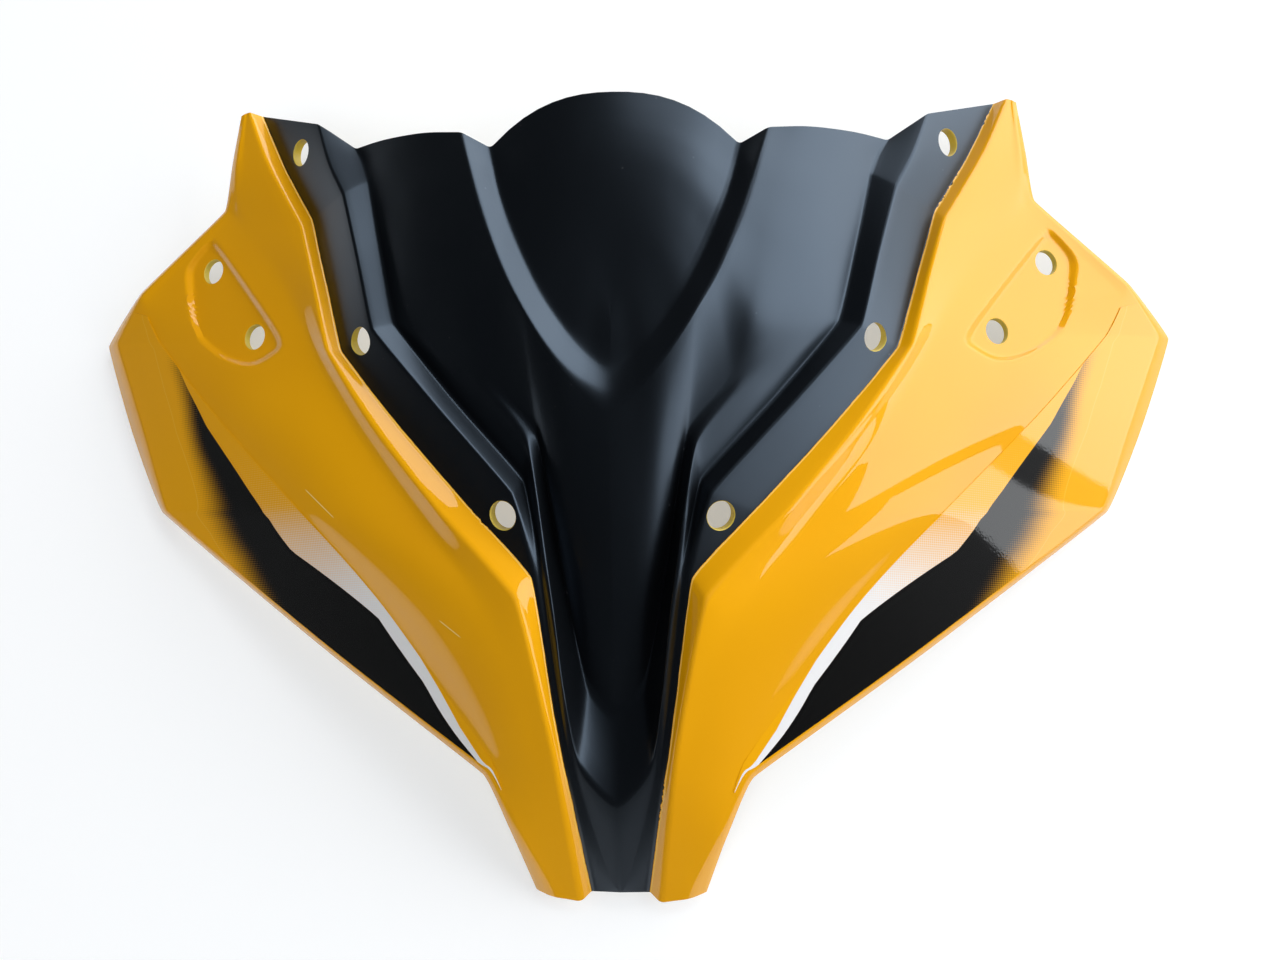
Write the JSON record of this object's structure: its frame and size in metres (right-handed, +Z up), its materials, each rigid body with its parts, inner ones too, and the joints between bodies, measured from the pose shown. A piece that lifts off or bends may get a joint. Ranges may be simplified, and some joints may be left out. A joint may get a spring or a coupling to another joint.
{
  "type": "motorcycle front fairing",
  "caption": "Moulded upper front fairing with yellow wings, a black stepped centre that seats a windscreen, mirror pads, screw holes and fading wing films.",
  "frame": {"origin": "middle of the box on the floor the part stands on", "axes": "+X across to the right wing as seen from above, +Y from the chin to the screen edge, +Z up out of the convex face"},
  "size_m": [0.552, 0.384, 0.1165],
  "materials": {
    "body": "gloss amber yellow paint on the wings, satin black centre",
    "film": "printed gloss film, black fading field with a pale stripe"
  },
  "bodies": {
    "root": {"fairing": "body", "decal_left": "film", "decal_right": "film"}
  },
  "joints": []
}
